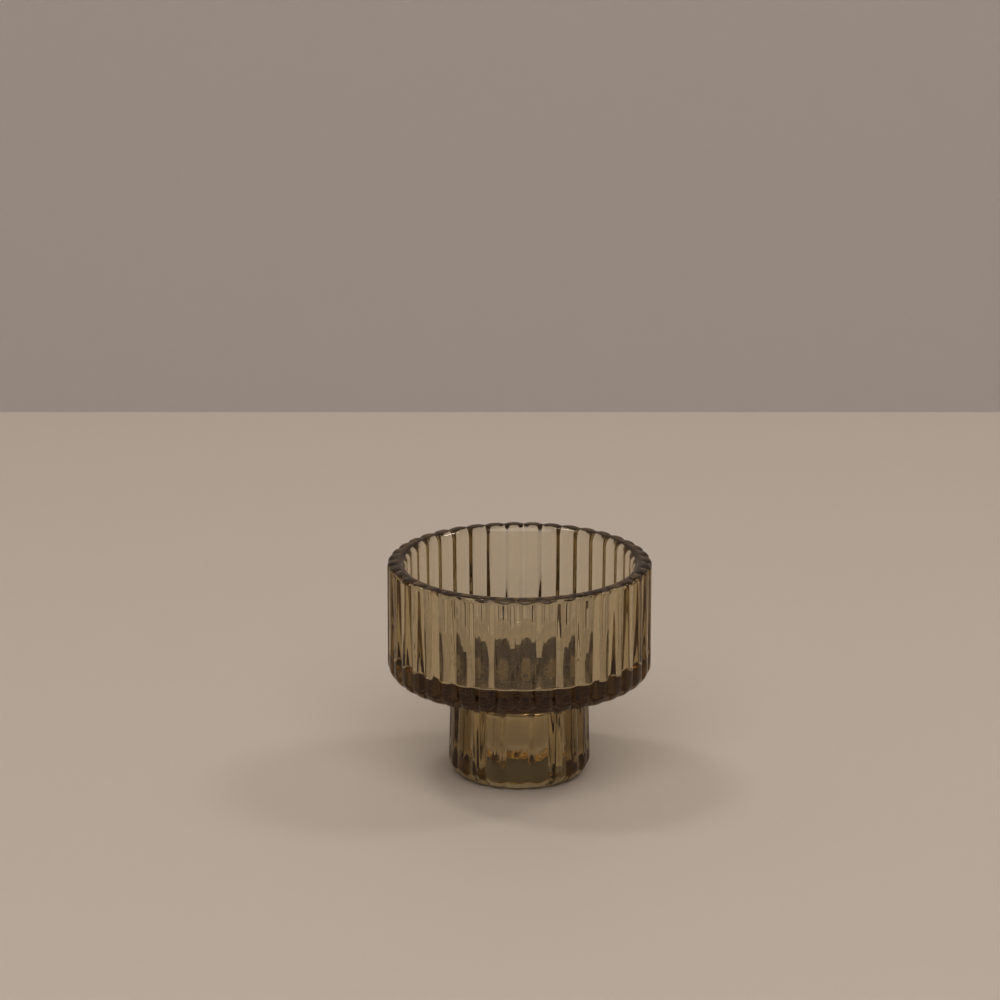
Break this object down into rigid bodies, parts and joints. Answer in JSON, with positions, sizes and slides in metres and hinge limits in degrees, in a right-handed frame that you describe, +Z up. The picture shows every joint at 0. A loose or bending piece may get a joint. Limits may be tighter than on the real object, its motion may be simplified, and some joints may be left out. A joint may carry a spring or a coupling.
{
  "type": "glass candlestick",
  "caption": "Reeded smoked-glass candle holder: a wide cup on a narrow foot, whose bore takes a dinner candle when the holder is turned over.",
  "frame": {"origin": "centre of the base ring, on the surface that the holder stands on", "axes": "+Z up along the axis of the cup, the foot and the candle bore"},
  "size_m": [0.0798, 0.0798, 0.067],
  "materials": {
    "smoked_glass_cup": "fire-polished",
    "smoked_glass_foot": "fire-polished",
    "clear_bond": "clear"
  },
  "bodies": {
    "root": {"cup": "smoked_glass_cup", "foot": "smoked_glass_foot", "bond": "clear_bond"}
  },
  "joints": []
}
